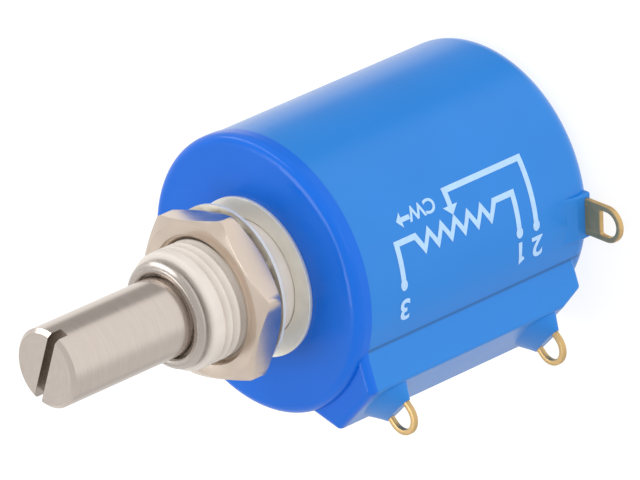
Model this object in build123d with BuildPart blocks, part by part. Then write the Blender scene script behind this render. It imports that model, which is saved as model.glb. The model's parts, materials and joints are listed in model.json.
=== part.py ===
"""Ten-turn wirewound potentiometer with a threaded bushing and three solder lugs.

All sizes are in millimetres. The origin is the centre of the flat rear face, and +Z runs along
the shaft towards its slotted end. The terminal ridge points along -X.
"""

from build123d import *
import os
from math import cos, radians, sin, tan

# Fits
press_clearance = 0.01
running_clearance = 0.03
contact_clearance = 0.05
slide_clearance = 0.1
cut_overrun = 1.0

# Case
body_radius = 11.15
case_wall = 1.4
rear_wall = 2.0
rear_rounding = 1.5
lid_flange = 1.5
lid_spigot = 1.5
lid_overhang = 0.1
lid_rounding = 0.8
lobe_rounding = 0.5
lobe_blend = 1.5

# Terminal ridge and its bosses, along the case
ridge_angle = 180.0
ridge_height = 1.9
ridge_root_depth = 1.6
ridge_root_half_width = 4.8
ridge_top_half_width = 2.9
ridge_rounding = 0.4
ridge_rear_start = 1.75
ridge_rear_height = 1.05
ridge_rear_slope = 2.2
boss_height = 1.2
boss_side_margin = 0.3
boss_edge_margin = 0.1
boss_top_half_length = 0.45
front_boss_front_run = 2.9
front_boss_rear_run = 0.95
rear_boss_front_run = 2.6
rear_boss_rear_run = 0.95

# Solder lugs
lug_width = 3.0
lug_thickness = 0.45
lug_rim = 0.46
eye_flat_drop = 0.67
eye_corner = 0.22
lug_exposure = 2.05
lead_radius = 0.3
lead_length = 1.25

# Wiper lug at the rear edge and its boss
wiper_lug_angle = 222.0
wiper_boss_height = 0.25
wiper_boss_half_width = 1.9
wiper_boss_rounding = 0.2
wiper_boss_rear_gap = 0.55
wiper_boss_crest = 2.0
wiper_boss_length = 6.6
wiper_lug_exposure = 3.75
wiper_lug_inner_reach = 6.2

# Bushing and panel hardware
bushing_wall = 1.5575
bushing_length = 8.6
bushing_chamfer = 0.4
bushing_flange_reach = 1.2
bushing_flange = 1.0
nut_wall = 1.5875
nut_thickness = 2.4
nut_stand_off = 3.25
nut_angle = 55.0
nut_chamfer_angle = 30.0
nut_face_inset = 0.15
nut_sink = 0.32
lock_washer_reach = 1.95
lock_washer_thickness = 0.4
lock_washer_gap = 0.15
lock_tooth_count = 10
lock_tooth_width = 1.5
lock_tooth_twist = 10.0
lock_tooth_share = 0.36
washer_clearance = 0.34
flat_washer_reach = 1.66
flat_washer_thickness = 0.35

# Shaft
shaft_radius = 3.175
shaft_extension = 21.5
shaft_chamfer = 0.3
slot_width = 0.8
slot_depth = 1.2
slot_angle = 113.0
pivot_radius = 1.5
pivot_floor = 0.8
groove_depth = 0.475
ring_width = 1.325
ring_thickness = 0.8
ring_setback = 0.15
ring_chamfer = 0.25
ring_mouth = 0.35
ring_gap = 2.4
ring_gap_angle = 75.0

# Element and wiper
turns = 10
element_pitch = 1.6
element_radius = 0.45
carriage_half_length = 1.2
carriage_half_width = 1.4
carriage_top_gap = 0.5
rear_travel_gap = 1.66
front_travel_gap = 0.34
fork_gap = 0.12
fork_wall = 0.2
fork_half_width = 0.9
fork_bite = 0.25
wiper_half_width = 0.6
wiper_half_thickness = 0.2
rotor_web = 0.725
rotor_slot_depth = 2.3
bar_thickness = 0.4
bar_half_width = 0.8
carriage_bar_gap = 0.15
brush_space = 0.75
slip_ring_thickness = 0.6
brush_thickness = 0.2
brush_half_width = 0.8
brush_root_length = 2.2
brush_tip_length = 0.7
brush_tip_gap = 0.325
brush_pocket_margin = 0.4
thrust_washer_thickness = 0.5
thrust_washer_width = 1.2
stop_thickness = 1.2
stop_reach = 1.8
stop_gap = 0.15
stop_rotor_gap = 0.4
stop_overlap_share = 0.6

# Levels along the shaft, from the rear face to the front
first_turn = rear_wall + rear_travel_gap + carriage_half_length
last_turn = first_turn + turns * element_pitch
middle_turn = (first_turn + last_turn) / 2
lid_inner = last_turn + carriage_half_length + front_travel_gap
lid_seam = lid_inner + lid_spigot
front_face = lid_seam + lid_flange
bushing_end = front_face + bushing_length
shaft_tip = front_face + shaft_extension
slip_ring_rear = rear_wall + brush_space
rotor_rear = slip_ring_rear + slip_ring_thickness
rotor_front = lid_inner - slide_clearance - thrust_washer_thickness
nut_rear = front_face + nut_stand_off
ring_rear = bushing_end + ring_setback

# Radii, from the shaft outwards
bushing_bore = shaft_radius + running_clearance
thread_radius = bushing_bore + bushing_wall
nut_flat_radius = thread_radius + nut_wall
slot_floor = shaft_radius + rotor_web
bar_top = slot_floor + bar_thickness
carriage_inner = bar_top + carriage_bar_gap
rotor_radius = slot_floor + rotor_slot_depth
bore_radius = body_radius - case_wall
element_reach = bore_radius - contact_clearance - element_radius
carriage_outer = element_reach - element_radius - carriage_top_gap
ridge_reach = body_radius + ridge_height
boss_reach = ridge_reach + boss_height
lid_radius = body_radius + lid_overhang
eye_radius = lug_width / 2 - lug_rim


def radial_plane(angle, height):
    """Plane across the shaft at a height, with its x axis pointing outwards at an angle."""
    outwards = (cos(radians(angle)), sin(radians(angle)), 0)
    return Plane(origin=(0, 0, height), x_dir=outwards, z_dir=(0, 0, 1))


def side_plane(angle):
    """Plane through the shaft's axis: x points outwards at an angle and y runs along the shaft."""
    outwards = (cos(radians(angle)), sin(radians(angle)), 0)
    across = (sin(radians(angle)), -cos(radians(angle)), 0)
    return Plane(origin=(0, 0, 0), x_dir=outwards, z_dir=across)


def outward_plane(angle, reach, height):
    """Plane that faces outwards at a reach from the axis: x runs round the case, y along the shaft."""
    outwards = Vector(cos(radians(angle)), sin(radians(angle)), 0)
    around = (-sin(radians(angle)), cos(radians(angle)), 0)
    return Plane(origin=outwards * reach + Vector(0, 0, height), x_dir=around, z_dir=outwards)


def solder_lug(angle, height, inner_reach, tip_reach, label):
    """Flat stamped lug across the shaft with a round end and a D-shaped eye."""
    centre = tip_reach - lug_width / 2
    half = lug_width / 2
    eye_floor = centre - eye_flat_drop
    with BuildPart() as lug:
        with BuildSketch(radial_plane(angle, height)):
            with BuildLine():
                Polyline((centre, half), (inner_reach, half), (inner_reach, -half), (centre, -half))
                ThreePointArc((centre, -half), (tip_reach, 0), (centre, half))
            make_face()
            with BuildLine():
                FilletPolyline(
                    (centre, eye_radius),
                    (eye_floor, eye_radius),
                    (eye_floor, -eye_radius),
                    (centre, -eye_radius),
                    radius=eye_corner,
                )
                ThreePointArc((centre, -eye_radius), (centre + eye_radius, 0), (centre, eye_radius))
            make_face(mode=Mode.SUBTRACT)
        extrude(amount=lug_thickness / 2, both=True)
    lug.part.label = label
    return lug


def end_lead(height, label):
    """Short lead from an end of the element to the inner edge of its lug."""
    with BuildPart() as lead:
        with BuildSketch(outward_plane(ridge_angle, element_reach + element_radius, height)):
            Circle(lead_radius)
        extrude(amount=bore_radius + lead_length - element_reach - element_radius)
    lead.part.label = label
    return lead


# Lugs and leads, moulded into the housing
ridge_lug_inner = bore_radius + lead_length
ridge_lug_tip = boss_reach + lug_exposure
wiper_lug_tip = body_radius + wiper_boss_height + wiper_lug_exposure
wiper_lug_height = rear_wall / 2
wiper_lug_top = wiper_lug_height + lug_thickness / 2
terminal_lug_1 = solder_lug(ridge_angle, first_turn, ridge_lug_inner, ridge_lug_tip, "terminal_lug_1")
terminal_lug_3 = solder_lug(ridge_angle, last_turn, ridge_lug_inner, ridge_lug_tip, "terminal_lug_3")
terminal_lug_2 = solder_lug(
    wiper_lug_angle, wiper_lug_height, wiper_lug_inner_reach, wiper_lug_tip, "terminal_lug_2"
)
end_lead_1 = end_lead(first_turn, "end_lead_1")
end_lead_3 = end_lead(last_turn, "end_lead_3")

# Collector brush: spring strip from the wiper lug's inner end up to the slip ring
brush_top = slip_ring_rear - contact_clearance
brush_bend = wiper_lug_inner_reach + brush_thickness
brush_root = brush_bend + brush_root_length
brush_tip = shaft_radius + brush_tip_gap
brush_knee = brush_tip + brush_tip_length
with BuildPart() as collector_brush:
    with BuildSketch(side_plane(wiper_lug_angle)):
        with BuildLine():
            Polyline(
                (brush_root, wiper_lug_top),
                (brush_bend, wiper_lug_top),
                (brush_knee, brush_top - brush_thickness),
                (brush_tip, brush_top - brush_thickness),
                (brush_tip, brush_top),
                (brush_knee, brush_top),
                (brush_bend, wiper_lug_top + brush_thickness),
                (brush_root, wiper_lug_top + brush_thickness),
                close=True,
            )
        make_face()
    extrude(amount=brush_half_width, both=True)
collector_brush.part.label = "collector_brush"


def ridge_outline():
    """Section of the terminal ridge across the shaft, narrower at its outer face."""
    Polyline(
        (ridge_root, ridge_root_half_width),
        (ridge_reach, ridge_top_half_width),
        (ridge_reach, -ridge_top_half_width),
        (ridge_root, -ridge_root_half_width),
        close=True,
    )


def boss_outline(half_width, front_run, rear_run):
    """Round outline of a lug's boss, with its own reach ahead of the lug and behind it."""
    EllipticalCenterArc((0, 0), half_width, front_run, start_angle=0, arc_size=180)
    EllipticalCenterArc((0, 0), half_width, rear_run, start_angle=180, arc_size=180)


# Terminal ridge: tapered bar along the case with a slanted rear end
ridge_root = body_radius - ridge_root_depth
ridge_shoulder = body_radius + ridge_rear_height
with BuildPart() as ridge:
    with BuildSketch(radial_plane(ridge_angle, 0)):
        with BuildLine():
            ridge_outline()
        make_face()
    extrude(amount=lid_seam)
    with BuildSketch(side_plane(ridge_angle)):
        with BuildLine():
            Polyline(
                (ridge_root, lid_seam),
                (ridge_reach, lid_seam),
                (ridge_reach, ridge_rear_start + ridge_rear_slope),
                (ridge_shoulder, ridge_rear_start),
                (ridge_root, ridge_rear_start),
                close=True,
            )
        make_face()
    extrude(amount=ridge_root_half_width, both=True, mode=Mode.INTERSECT)
    outer_edges = ridge.edges().filter_by_position(Axis.X, -ridge_reach, -ridge_root - ridge_rounding)
    fillet(outer_edges.filter_by_position(Axis.Z, 0, lid_seam - ridge_rounding), ridge_rounding)

# Wiper boss: soft wedge over the wiper lug at the rear edge
wiper_boss_reach = body_radius + wiper_boss_height
with BuildPart() as wiper_boss:
    with BuildSketch(side_plane(wiper_lug_angle)):
        with BuildLine():
            Polyline(
                (ridge_root, wiper_boss_rear_gap),
                (wiper_boss_reach, wiper_boss_rear_gap),
                (wiper_boss_reach, wiper_boss_crest),
                (ridge_root, wiper_boss_length + wiper_boss_crest),
                close=True,
            )
        make_face()
    extrude(amount=wiper_boss_half_width, both=True)
    wiper_boss_axis = Axis((0, 0, 0), (cos(radians(wiper_lug_angle)), sin(radians(wiper_lug_angle)), 0))
    fillet(wiper_boss.edges().sort_by(wiper_boss_axis)[4:], wiper_boss_rounding)

# Housing: moulded cup with the terminal ridge, the lug bosses and the rear stop
stop_side = carriage_half_width + stop_gap
stop_inner = rotor_radius + stop_rotor_gap
rear_stop_top = first_turn - carriage_half_length + element_pitch * stop_overlap_share
with BuildPart() as housing:
    with BuildSketch():
        Circle(body_radius)
    extrude(amount=lid_seam)
    fillet(housing.faces().sort_by(Axis.Z)[0].edges(), rear_rounding)
    add(ridge.part)
    add(wiper_boss.part)

    boss_base_half = ridge_top_half_width - boss_edge_margin
    boss_top_half = lug_width / 2 + boss_side_margin
    for lug_height, front_run, rear_run in (
        (first_turn, rear_boss_front_run, rear_boss_rear_run),
        (last_turn, front_boss_front_run, front_boss_rear_run),
    ):
        with BuildSketch(outward_plane(ridge_angle, ridge_reach - ridge_rounding, lug_height)):
            with BuildLine():
                boss_outline(boss_base_half, front_run, rear_run)
            make_face()
        with BuildSketch(outward_plane(ridge_angle, boss_reach, lug_height)):
            with BuildLine():
                boss_outline(boss_top_half, boss_top_half_length, boss_top_half_length)
            make_face()
        loft()

    with BuildSketch(Plane.XY.offset(rear_wall)):
        Circle(bore_radius)
    extrude(amount=lid_seam, mode=Mode.SUBTRACT)

    with BuildSketch(radial_plane(ridge_angle, rear_wall)):
        with Locations((stop_inner + stop_reach / 2, stop_side + stop_thickness / 2)):
            Rectangle(stop_reach, stop_thickness)
    extrude(amount=rear_stop_top - rear_wall)

    with BuildSketch(Plane.XY.offset(rear_wall)):
        Circle(pivot_radius + running_clearance)
    extrude(amount=pivot_floor - rear_wall, mode=Mode.SUBTRACT)

    pocket_middle = (brush_root + brush_knee) / 2
    pocket_length = brush_root - brush_knee + brush_pocket_margin * 2
    pocket_width = (brush_half_width + brush_pocket_margin) * 2
    with BuildSketch(radial_plane(wiper_lug_angle, wiper_lug_top)):
        with Locations((pocket_middle, 0)):
            Rectangle(pocket_length, pocket_width)
    extrude(amount=rear_wall, mode=Mode.SUBTRACT)

    for insert in (terminal_lug_1, terminal_lug_2, terminal_lug_3, end_lead_1, end_lead_3):
        add(insert.part, mode=Mode.SUBTRACT)
housing.part.label = "housing"

# Front lid: rounded cover with a spigot in the bore, a lobe over the ridge's end and the front stop
lobe_top = front_face - lid_rounding
rim_side = (lid_radius, front_face - lid_rounding)
rim_front = (lid_radius - lid_rounding, front_face)
front_stop_bottom = last_turn + carriage_half_length - element_pitch * stop_overlap_share
with BuildPart() as front_lid:
    with BuildSketch(radial_plane(ridge_angle, lid_seam)) as lobe_sketch:
        with BuildLine():
            ridge_outline()
        make_face()
        Circle(lid_radius)
        fillet(lobe_sketch.vertices().sort_by(Axis.X)[-2:], ridge_rounding)
        fillet(lobe_sketch.vertices().sort_by(Axis.X)[:2], lobe_blend)
    extrude(amount=lobe_top - lid_seam)
    fillet(front_lid.faces().sort_by(Axis.Z)[-1].edges(), lobe_rounding)

    with BuildSketch(Plane.XZ):
        with BuildLine():
            Polyline(
                (0, front_face),
                (0, lid_inner),
                (bore_radius - contact_clearance, lid_inner),
                (bore_radius - contact_clearance, lid_seam),
                (lid_radius, lid_seam),
                rim_side,
            )
            RadiusArc(rim_side, rim_front, -lid_rounding)
            Line(rim_front, (0, front_face))
        make_face()
    revolve(axis=Axis.Z)

    with BuildSketch(radial_plane(ridge_angle, front_stop_bottom)):
        with Locations((stop_inner + stop_reach / 2, -stop_side - stop_thickness / 2)):
            Rectangle(stop_reach, stop_thickness)
    extrude(amount=lid_inner - front_stop_bottom)

    with BuildSketch(Plane.XY.offset(lid_inner)):
        Circle(thread_radius + bushing_flange_reach + press_clearance)
    extrude(amount=bushing_flange, mode=Mode.SUBTRACT)
    with BuildSketch(Plane.XY.offset(lid_inner)):
        Circle(thread_radius + press_clearance)
    extrude(amount=front_face, mode=Mode.SUBTRACT)
front_lid.part.label = "front_lid"

# Threaded bushing: turned sleeve with a flange in the lid's counterbore
with BuildPart() as threaded_bushing:
    with BuildSketch(Plane.XZ):
        with BuildLine():
            Polyline(
                (bushing_bore, lid_inner),
                (thread_radius + bushing_flange_reach, lid_inner),
                (thread_radius + bushing_flange_reach, lid_inner + bushing_flange),
                (thread_radius, lid_inner + bushing_flange),
                (thread_radius, bushing_end - bushing_chamfer),
                (thread_radius - bushing_chamfer, bushing_end),
                (bushing_bore, bushing_end),
                close=True,
            )
        make_face()
    revolve(axis=Axis.Z)
threaded_bushing.part.label = "threaded_bushing"

# Hex nut with both faces chamfered by a cone and both mouths of its thread countersunk
nut_corner = nut_flat_radius / cos(radians(nut_chamfer_angle))
nut_face_radius = nut_flat_radius - nut_face_inset
nut_chamfer = (nut_corner - nut_face_radius) * tan(radians(nut_chamfer_angle))
nut_front = nut_rear + nut_thickness
nut_bore = thread_radius + running_clearance
with BuildPart() as hex_nut:
    with BuildSketch(radial_plane(nut_angle, nut_rear)):
        RegularPolygon(nut_corner, 6)
    extrude(amount=nut_thickness)
    with BuildSketch(Plane.XZ):
        with BuildLine():
            Polyline(
                (nut_bore, nut_rear + nut_sink),
                (nut_bore + nut_sink, nut_rear),
                (nut_face_radius, nut_rear),
                (nut_corner, nut_rear + nut_chamfer),
                (nut_corner, nut_front - nut_chamfer),
                (nut_face_radius, nut_front),
                (nut_bore + nut_sink, nut_front),
                (nut_bore, nut_front - nut_sink),
                close=True,
            )
        make_face()
    revolve(axis=Axis.Z, mode=Mode.INTERSECT)
hex_nut.part.label = "hex_nut"

# Lock washer: thin ring with twisted inner teeth, behind the nut
lock_washer_top = nut_rear - lock_washer_gap
lock_washer_middle = lock_washer_top - lock_washer_thickness / 2
lock_washer_radius = thread_radius + lock_washer_reach
lock_ring_inner = thread_radius + lock_washer_reach * lock_tooth_share
lock_tooth_tip = thread_radius + washer_clearance / 2
with BuildPart() as lock_washer:
    with BuildSketch(Plane.XY.offset(lock_washer_top - lock_washer_thickness)):
        Circle(lock_washer_radius)
        Circle(lock_ring_inner, mode=Mode.SUBTRACT)
    extrude(amount=lock_washer_thickness)
    tooth_length = lock_ring_inner - lock_tooth_tip + lock_washer_thickness
    for tooth in range(lock_tooth_count):
        tooth_angle = tooth * 360.0 / lock_tooth_count
        with BuildSketch(outward_plane(tooth_angle, lock_tooth_tip, lock_washer_middle)):
            Rectangle(lock_tooth_width, lock_washer_thickness, rotation=lock_tooth_twist)
        extrude(amount=tooth_length)
lock_washer.part.label = "lock_washer"

# Flat washer on the front face
with BuildPart() as flat_washer:
    with BuildSketch(Plane.XY.offset(front_face)):
        Circle(thread_radius + flat_washer_reach)
        Circle(thread_radius + washer_clearance, mode=Mode.SUBTRACT)
    extrude(amount=flat_washer_thickness)
flat_washer.part.label = "flat_washer"

# Shaft: turned bar with a rear pivot, a ring groove and a screwdriver slot
groove_radius = shaft_radius - groove_depth
pivot_end = pivot_floor + slide_clearance
with BuildPart() as shaft:
    with BuildSketch(Plane.XZ):
        with BuildLine():
            Polyline(
                (0, pivot_end),
                (pivot_radius, pivot_end),
                (pivot_radius, slip_ring_rear),
                (shaft_radius, slip_ring_rear),
                (shaft_radius, ring_rear),
                (groove_radius, ring_rear),
                (groove_radius, ring_rear + ring_thickness),
                (shaft_radius, ring_rear + ring_thickness),
                (shaft_radius, shaft_tip - shaft_chamfer),
                (shaft_radius - shaft_chamfer, shaft_tip),
                (0, shaft_tip),
                close=True,
            )
        make_face()
    revolve(axis=Axis.Z)
    with BuildSketch(radial_plane(slot_angle, shaft_tip)):
        Rectangle(shaft_radius * 2 + cut_overrun, slot_width)
    extrude(amount=-slot_depth, mode=Mode.SUBTRACT)
shaft.part.label = "shaft"

# Retaining ring: open ring in the shaft's groove, with a broken rim and a flared mouth
ring_radius = shaft_radius + ring_width
ring_front = ring_rear + ring_thickness
with BuildPart() as retaining_ring:
    with BuildSketch(Plane.XZ):
        with BuildLine():
            Polyline(
                (ring_radius - ring_chamfer, ring_front),
                (shaft_radius + ring_mouth, ring_front),
                (shaft_radius + running_clearance, ring_front - ring_mouth),
                (groove_radius + press_clearance, ring_front - ring_mouth),
                (groove_radius + press_clearance, ring_rear),
                (ring_radius, ring_rear),
                (ring_radius, ring_front - ring_chamfer),
                close=True,
            )
        make_face()
    revolve(axis=Axis.Z)
    with BuildSketch(radial_plane(ring_gap_angle, ring_rear)):
        with Locations((ring_radius / 2 + cut_overrun / 2, 0)):
            Rectangle(ring_radius + cut_overrun, ring_gap)
    extrude(amount=ring_thickness, mode=Mode.SUBTRACT)
retaining_ring.part.label = "retaining_ring"

# Resistance element: left-handed helix along the bore, with a six-sided section
with BuildPart() as resistance_element:
    with BuildLine() as helix_line:
        Helix(element_pitch, turns * element_pitch, element_reach, center=(0, 0, first_turn), lefthand=True)
    helix_path = helix_line.line.rotate(Axis.Z, ridge_angle)
    helix_start = helix_path @ 0
    helix_tangent = helix_path % 0
    outwards = Vector(helix_start.X, helix_start.Y, 0)
    with BuildSketch(Plane(origin=helix_start, x_dir=outwards, z_dir=helix_tangent)):
        RegularPolygon(element_radius, 6)
    sweep(path=helix_path, is_frenet=True)
resistance_element.part.label = "resistance_element"

# Rotor: drum on the shaft with a guide slot for the carriage
rotor_slot_half = carriage_half_width + slide_clearance
with BuildPart() as rotor:
    with BuildSketch(Plane.XY.offset(rotor_rear)):
        Circle(rotor_radius)
        Circle(shaft_radius + press_clearance, mode=Mode.SUBTRACT)
    extrude(amount=rotor_front - rotor_rear)
    with BuildSketch(radial_plane(ridge_angle, rotor_rear)):
        with Locations((slot_floor + rotor_radius / 2, 0)):
            Rectangle(rotor_radius, rotor_slot_half * 2)
    extrude(amount=rotor_front - rotor_rear, mode=Mode.SUBTRACT)
rotor.part.label = "rotor"

# Collector bar along the bottom of the rotor's slot
with BuildPart() as collector_bar:
    with BuildSketch(radial_plane(ridge_angle, rotor_rear)):
        with Locations((slot_floor + bar_thickness / 2, 0)):
            Rectangle(bar_thickness, bar_half_width * 2)
    extrude(amount=rotor_front - rotor_rear)
collector_bar.part.label = "collector_bar"

# Slip ring on the rotor's rear face
with BuildPart() as slip_ring:
    with BuildSketch(Plane.XY.offset(slip_ring_rear)):
        Circle(bar_top)
        Circle(shaft_radius + press_clearance, mode=Mode.SUBTRACT)
    extrude(amount=slip_ring_thickness)
slip_ring.part.label = "slip_ring"

# Thrust washer ahead of the rotor
with BuildPart() as thrust_washer:
    with BuildSketch(Plane.XY.offset(rotor_front)):
        Circle(shaft_radius + thrust_washer_width)
        Circle(shaft_radius + press_clearance, mode=Mode.SUBTRACT)
    extrude(amount=thrust_washer_thickness)
thrust_washer.part.label = "thrust_washer"

# Wiper contact: metal blade from the collector bar to the element
wiper_inner = bar_top + contact_clearance
wiper_outer = element_reach - element_radius - contact_clearance
with BuildPart() as wiper_contact:
    with BuildSketch(outward_plane(ridge_angle, wiper_inner, middle_turn)):
        Rectangle(wiper_half_width * 2, wiper_half_thickness * 2)
    extrude(amount=wiper_outer - wiper_inner)
wiper_contact.part.label = "wiper_contact"

# Contact carriage: block in the rotor's slot with a fork that follows the element
fork_middle = element_radius + fork_gap + fork_wall / 2
fork_reach = element_reach - element_radius + fork_bite
with BuildPart() as contact_carriage:
    with BuildSketch(outward_plane(ridge_angle, carriage_inner, middle_turn)):
        Rectangle(carriage_half_width * 2, carriage_half_length * 2)
    extrude(amount=carriage_outer - carriage_inner)
    with BuildSketch(outward_plane(ridge_angle, carriage_outer, middle_turn)):
        with Locations((0, fork_middle), (0, -fork_middle)):
            Rectangle(fork_half_width * 2, fork_wall)
    extrude(amount=fork_reach - carriage_outer)
    add(wiper_contact.part, mode=Mode.SUBTRACT)
contact_carriage.part.label = "contact_carriage"

pieces = (
    housing,
    front_lid,
    threaded_bushing,
    shaft,
    retaining_ring,
    hex_nut,
    lock_washer,
    flat_washer,
    terminal_lug_1,
    terminal_lug_2,
    terminal_lug_3,
    resistance_element,
    end_lead_1,
    end_lead_3,
    rotor,
    contact_carriage,
    wiper_contact,
    collector_bar,
    slip_ring,
    collector_brush,
    thrust_washer,
)
os.makedirs("parts", exist_ok=True)
for piece in pieces:
    export_step(piece.part, f"parts/{piece.part.label}.step")
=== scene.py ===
"""Looks of a multiturn panel potentiometer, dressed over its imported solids.

Lengths are metres in the part's own frame: the origin is the centre of the rear face and +Z runs along the
shaft. Sizes that are written in millimetres are multiplied by MM.
"""

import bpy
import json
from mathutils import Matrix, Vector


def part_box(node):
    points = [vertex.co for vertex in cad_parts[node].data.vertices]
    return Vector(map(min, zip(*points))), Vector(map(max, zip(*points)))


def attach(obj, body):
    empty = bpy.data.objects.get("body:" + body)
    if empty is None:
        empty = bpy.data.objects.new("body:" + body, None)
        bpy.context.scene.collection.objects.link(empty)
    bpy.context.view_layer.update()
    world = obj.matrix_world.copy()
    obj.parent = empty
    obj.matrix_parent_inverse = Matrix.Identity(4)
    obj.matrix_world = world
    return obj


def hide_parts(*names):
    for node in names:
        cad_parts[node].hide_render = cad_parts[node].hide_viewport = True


bl_info = {
    "name": "Multiturn Potentiometer",
    "version": (1, 0, 0),
    "blender": (4, 5, 0),
    "location": "View3D > Sidebar > Potentiometer",
    "description": "Models the fine pieces of a panel potentiometer and gives every piece its finish",
    "category": "Add Mesh",
}

import json
import math

import bmesh
import bpy
from bpy.props import FloatProperty, FloatVectorProperty, IntProperty, PointerProperty
from mathutils import Matrix, Vector

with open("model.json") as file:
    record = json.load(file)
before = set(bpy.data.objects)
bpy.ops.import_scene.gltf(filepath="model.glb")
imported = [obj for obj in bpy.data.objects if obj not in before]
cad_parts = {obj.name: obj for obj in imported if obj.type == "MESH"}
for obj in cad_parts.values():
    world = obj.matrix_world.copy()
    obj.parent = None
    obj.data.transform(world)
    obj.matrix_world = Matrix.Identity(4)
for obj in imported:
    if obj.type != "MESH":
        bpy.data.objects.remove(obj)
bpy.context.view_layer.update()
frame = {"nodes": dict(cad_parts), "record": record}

MM = 0.001
FULL_TURN = 2.0 * math.pi
MERGE_DISTANCE = 0.0005 * MM
RUNNING_GAP = 0.03 * MM
SEAT_GAP = 0.02 * MM
BUMP_DEPTH = 0.02 * MM
SMOOTH_ANGLE = math.radians(24.0)

# Colour sockets of a Mix node, by number because other kinds of value share their names
MIX_A, MIX_B, MIX_RESULT = 6, 7, 2


def mount(name):
    """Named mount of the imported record."""
    return next(m for m in frame["record"]["mounts"] if m["name"] == name)


def polar(radius, angle, height=0.0):
    """Point at a radius and an angle about the shaft."""
    return Vector((radius * math.cos(angle), radius * math.sin(angle), height))


# Sizes that the frame gives
SHAFT_RADIUS = mount("shaft")["dims"]["r_mm"] * MM
THREAD_RADIUS = mount("bushing")["dims"]["r_mm"] * MM
FRONT_FACE = mount("bushing")["pos_m"][2]
BUSHING_LOW, BUSHING_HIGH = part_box("threaded_bushing")
NUT_LOW, NUT_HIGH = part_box("hex_nut")
CASE_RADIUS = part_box("housing")[1].x
LUG_LOW, LUG_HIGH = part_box("terminal_lug_1")
SHAFT_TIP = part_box("shaft")[1].z


class CaseSizes(bpy.types.PropertyGroup):
    """Place and look of the painted shade line where the terminal ridge meets the case."""

    crease_reach: FloatProperty(
        name="Crease reach", description="From the shaft's axis towards the ridge", default=10.233 * MM,
        unit="LENGTH",
    )
    crease_half: FloatProperty(
        name="Crease side", description="From the middle of the ridge", default=4.429 * MM, unit="LENGTH"
    )
    crease_width: FloatProperty(
        name="Crease width", description="How far the line reaches to each side", default=0.24 * MM,
        unit="LENGTH",
    )
    # Share of the colour left at the middle of the line of painted shade
    crease_share: FloatProperty(name="Crease share", description="Colour left in the line", default=0.55)


class ShaftSizes(bpy.types.PropertyGroup):
    """Place of the milled slot in the shaft's end and look of the shade painted in it."""

    slot_turn: FloatProperty(
        name="Slot turn", description="Angle of the slot's length", default=math.radians(113.0), subtype="ANGLE"
    )
    slot_half: FloatProperty(
        name="Slot side", description="From the slot's middle to just past its wall", default=0.415 * MM,
        unit="LENGTH",
    )
    slot_depth: FloatProperty(
        name="Slot depth", description="From the shaft's end to just past the slot's floor", default=1.22 * MM,
        unit="LENGTH",
    )
    # Share of the colour left where shade is painted in the slot
    slot_share: FloatProperty(name="Slot share", description="Colour left in the dull slot", default=0.74)


class BushingSizes(bpy.types.PropertyGroup):
    """Sizes of the moulded thread on the bushing."""

    pitch: FloatProperty(
        name="Pitch", description="Travel of the thread in one turn", default=25.4 * MM / 32, unit="LENGTH"
    )
    depth: FloatProperty(
        name="Depth", description="From the crest down to the root", default=0.4 * MM, unit="LENGTH"
    )
    fullness: FloatProperty(
        name="Fullness", description="Below one, the crests are broad and the grooves narrow", default=0.55
    )
    neck: FloatProperty(
        name="Neck", description="Plain length between the case and the thread", default=2.7 * MM, unit="LENGTH"
    )
    collar: FloatProperty(
        name="Collar", description="Plain length at the front end", default=1.15 * MM, unit="LENGTH"
    )
    runout: FloatProperty(
        name="Run-out", description="Share of a pitch in which the thread ends at the collar", default=0.25
    )
    rounding: FloatProperty(
        name="End rounding", description="Rounding of the front end", default=0.45 * MM, unit="LENGTH"
    )
    flange: FloatProperty(
        name="Flange", description="Thickness of the flange inside the lid", default=1.0 * MM, unit="LENGTH"
    )
    clearance: FloatProperty(
        name="Bore clearance", description="Radial gap round the shaft", default=RUNNING_GAP, unit="LENGTH"
    )
    steps: IntProperty(name="Steps", description="Facets in one turn of the thread", default=72)
    points: IntProperty(name="Points", description="Facets across one pitch of the thread", default=10)


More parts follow.
